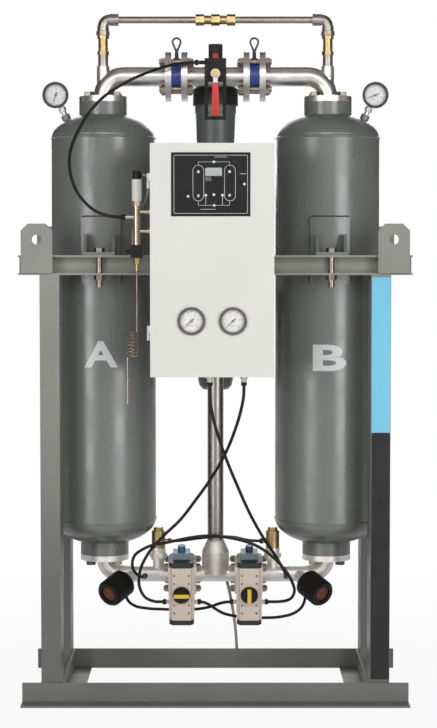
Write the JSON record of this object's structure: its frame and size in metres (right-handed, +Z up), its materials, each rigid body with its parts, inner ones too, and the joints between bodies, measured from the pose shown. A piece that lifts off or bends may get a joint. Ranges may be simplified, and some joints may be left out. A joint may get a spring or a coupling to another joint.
{
  "type": "desiccant air dryer",
  "caption": "Floor-standing desiccant compressed-air dryer with upright vessels in a steel frame, control cabinet, piping, valves, filters and gauges.",
  "frame": {"origin": "middle of the footprint on the floor", "axes": "+Z up, -Y towards the front with the cabinet door, +X to the right seen from the front"},
  "size_m": [1, 0.628, 1.7805],
  "materials": {
    "frame_paint": "satin grey paint",
    "vessel_paint": "satin grey paint",
    "galvanised": "galvanised",
    "bright_steel": "bright",
    "zinc_yellow": "yellow zinc plating",
    "blue_paint": "gloss",
    "dark_blue": "gloss",
    "brass": "bright",
    "dark_brass": "dull",
    "copper": "dull copper",
    "black_plastic": "matte",
    "red_paint": "gloss",
    "cabinet_paint": "fine texture",
    "black_panel": "semi gloss",
    "gauge_case": "satin",
    "gauge_bezel": "polished",
    "glass": "clear",
    "pointer": "matte",
    "seal": "matte",
    "plate_zinc": "zinc plating",
    "grey_plastic": "matte",
    "manifold_alu": "anodised",
    "white_plastic": "satin",
    "valve_iron": "painted",
    "actuator_alu": "hard anodised",
    "teal_plastic": "matte",
    "filter_alu": "powder coat",
    "hose_black": "satin",
    "hose_grey": "satin",
    "desiccant": "porous beads",
    "filter_paper": "pleated"
  },
  "bodies": {
    "dryer": {"base_frame": "frame_paint", "uprights": "frame_paint", "cross_beams": "frame_paint", "lifting_lugs": "frame_paint", "vessel_left": "vessel_paint", "vessel_right": "vessel_paint", "desiccant_beds": "desiccant", "bed_screens": "bright_steel", "saddle_brackets": "vessel_paint", "bolts": "zinc_yellow", "outlet_bends": "galvanised", "outlet_tee": "galvanised", "check_valves": "blue_paint", "lifting_eyes": "dark_blue", "sample_valve_body": "black_plastic", "purge_risers": "galvanised", "purge_unions": "brass", "purge_elbows": "galvanised", "vessel_gauges": "gauge_case", "vessel_gauge_lenses": "glass", "filter_heads": "filter_alu", "filter_bowls": "filter_alu", "filter_elements": "filter_paper", "cabinet_box": "cabinet_paint", "mounting_plate": "plate_zinc", "controller": "grey_plastic", "solenoid_manifold": "manifold_alu", "dewpoint_sensor": "white_plastic", "sample_cell": "bright_steel", "sample_coil": "copper", "inlet_riser": "galvanised", "inlet_tee": "galvanised", "lower_bends": "galvanised", "inlet_valve_bodies": "valve_iron", "actuators": "actuator_alu", "actuator_caps": "black_plastic", "pilot_valves": "teal_plastic", "exhaust_valves": "galvanised", "exhaust_heads": "dark_brass", "silencers": "black_plastic", "sample_hose": "hose_black", "control_tubes": "hose_black", "drain_hose": "hose_grey"},
    "door": {"cabinet_door": "cabinet_paint", "door_seal": "seal", "mimic_panel": "black_panel", "door_gauges": "gauge_bezel", "door_gauge_lenses": "glass"},
    "door_hand_left": {"door_pointer_left": "pointer"},
    "door_hand_right": {"door_pointer_right": "pointer"},
    "vessel_hand_left": {"vessel_pointer_left": "pointer"},
    "vessel_hand_right": {"vessel_pointer_right": "pointer"},
    "inlet_valve_left": {"left_valve_ball": "bright_steel", "left_indicator": "black_plastic"},
    "inlet_valve_right": {"right_valve_ball": "bright_steel", "right_indicator": "black_plastic"},
    "sample_handle": {"sample_valve_stem": "brass", "sample_valve_lever": "red_paint"},
    "check_left": {"check_disc_left": "bright_steel"},
    "check_right": {"check_disc_right": "bright_steel"}
  },
  "joints": [
    {"name": "door_hinge", "type": "hinge", "parent": "dryer", "child": "door", "pos_m": [-0.1645, -0.2955, 1.136], "axis": [0, 0, -1], "range_deg": [0, 110]},
    {"name": "door_gauge_left_hand", "type": "hinge", "parent": "door", "child": "door_hand_left", "pos_m": [-0.0585, -0.306, 0.986], "axis": [0, 1, 0], "range_deg": [0, 270], "stiffness_Nm_per_rad": 0.001},
    {"name": "door_gauge_right_hand", "type": "hinge", "parent": "door", "child": "door_hand_right", "pos_m": [0.0435, -0.306, 0.986], "axis": [0, 1, 0], "range_deg": [0, 270], "stiffness_Nm_per_rad": 0.001},
    {"name": "vessel_gauge_left_hand", "type": "hinge", "parent": "dryer", "child": "vessel_hand_left", "pos_m": [-0.42001, 0.047, 1.56818], "axis": [0, 1, 0], "range_deg": [0, 270], "stiffness_Nm_per_rad": 0.001},
    {"name": "vessel_gauge_right_hand", "type": "hinge", "parent": "dryer", "child": "vessel_hand_right", "pos_m": [0.42001, 0.047, 1.56818], "axis": [0, 1, 0], "range_deg": [0, 270], "stiffness_Nm_per_rad": 0.001},
    {"name": "inlet_valve_left_turn", "type": "hinge", "parent": "dryer", "child": "inlet_valve_left", "pos_m": [-0.088, 0.053, 0.301], "axis": [0, 0.9781, 0.2079], "range_deg": [0, 90]},
    {"name": "inlet_valve_right_turn", "type": "hinge", "parent": "dryer", "child": "inlet_valve_right", "pos_m": [0.088, 0.053, 0.301], "axis": [0, 0.9781, 0.2079], "range_deg": [0, 90]},
    {"name": "sample_lever_turn", "type": "hinge", "parent": "dryer", "child": "sample_handle", "pos_m": [0, -0.027, 1.617], "axis": [0, -1, 0], "range_deg": [0, 90]},
    {"name": "check_left_open", "type": "slide", "parent": "dryer", "child": "check_left", "axis": [1, 0, 0], "range_m": [0, 0.008], "stiffness_N_per_m": 150, "springref_m": -0.004},
    {"name": "check_right_open", "type": "slide", "parent": "dryer", "child": "check_right", "axis": [-1, 0, 0], "range_m": [0, 0.008], "stiffness_N_per_m": 150, "springref_m": -0.004}
  ]
}
